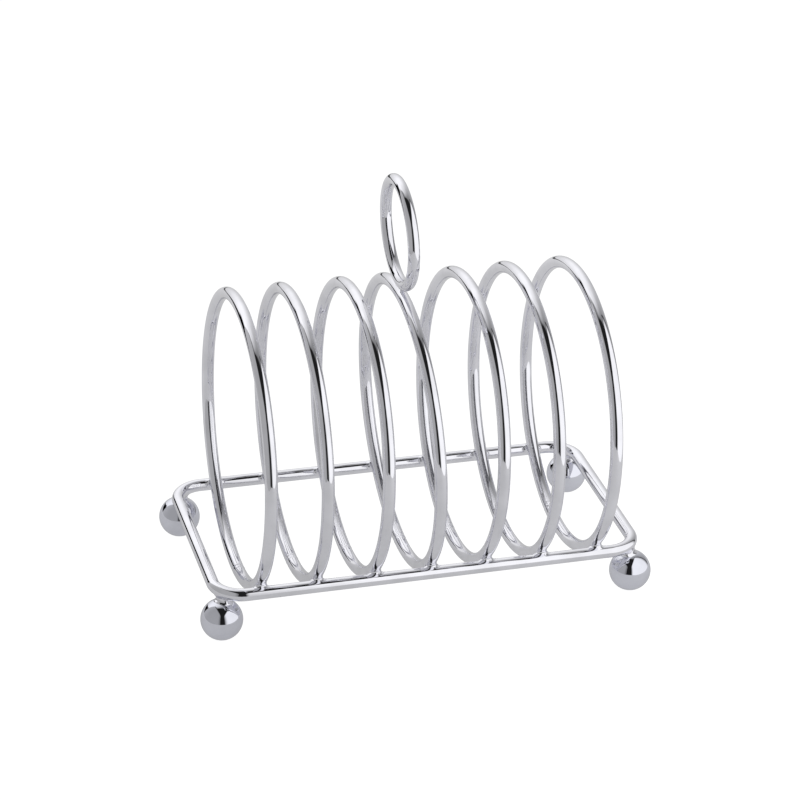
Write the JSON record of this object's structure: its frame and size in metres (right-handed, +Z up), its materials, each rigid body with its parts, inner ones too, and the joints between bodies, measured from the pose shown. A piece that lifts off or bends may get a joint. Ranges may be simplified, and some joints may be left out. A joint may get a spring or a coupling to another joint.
{
  "type": "toast rack",
  "caption": "Toast rack of chrome-plated wire: round divider rings welded across a rounded rectangular base frame on ball feet, with a small upright carrying ring on the middle divider.",
  "frame": {"origin": "on the surface that the rack stands on, at the lowest points of the ball feet, below the middle of the base frame", "axes": "+Z up; +X along the row of divider rings, parallel to the two long rails; +Y across the row, towards the back"},
  "size_m": [0.1654, 0.108, 0.1532],
  "materials": {
    "chrome_wire": "polished",
    "chrome_ball": "polished",
    "chrome_weld": "polished"
  },
  "bodies": {
    "root": {"base_frame": "chrome_wire", "divider_ring_1": "chrome_wire", "divider_ring_2": "chrome_wire", "divider_ring_3": "chrome_wire", "divider_ring_4": "chrome_wire", "divider_ring_5": "chrome_wire", "divider_ring_6": "chrome_wire", "divider_ring_7": "chrome_wire", "handle_ring": "chrome_wire", "foot_ball_front_left": "chrome_ball", "foot_ball_front_right": "chrome_ball", "foot_ball_back_left": "chrome_ball", "foot_ball_back_right": "chrome_ball", "ring_weld_1_front": "chrome_weld", "ring_weld_1_back": "chrome_weld", "ring_weld_2_front": "chrome_weld", "ring_weld_2_back": "chrome_weld", "ring_weld_3_front": "chrome_weld", "ring_weld_3_back": "chrome_weld", "ring_weld_4_front": "chrome_weld", "ring_weld_4_back": "chrome_weld", "ring_weld_5_front": "chrome_weld", "ring_weld_5_back": "chrome_weld", "ring_weld_6_front": "chrome_weld", "ring_weld_6_back": "chrome_weld", "ring_weld_7_front": "chrome_weld", "ring_weld_7_back": "chrome_weld", "foot_weld_front_left": "chrome_weld", "foot_weld_front_right": "chrome_weld", "foot_weld_back_left": "chrome_weld", "foot_weld_back_right": "chrome_weld", "handle_weld": "chrome_weld"}
  },
  "joints": []
}
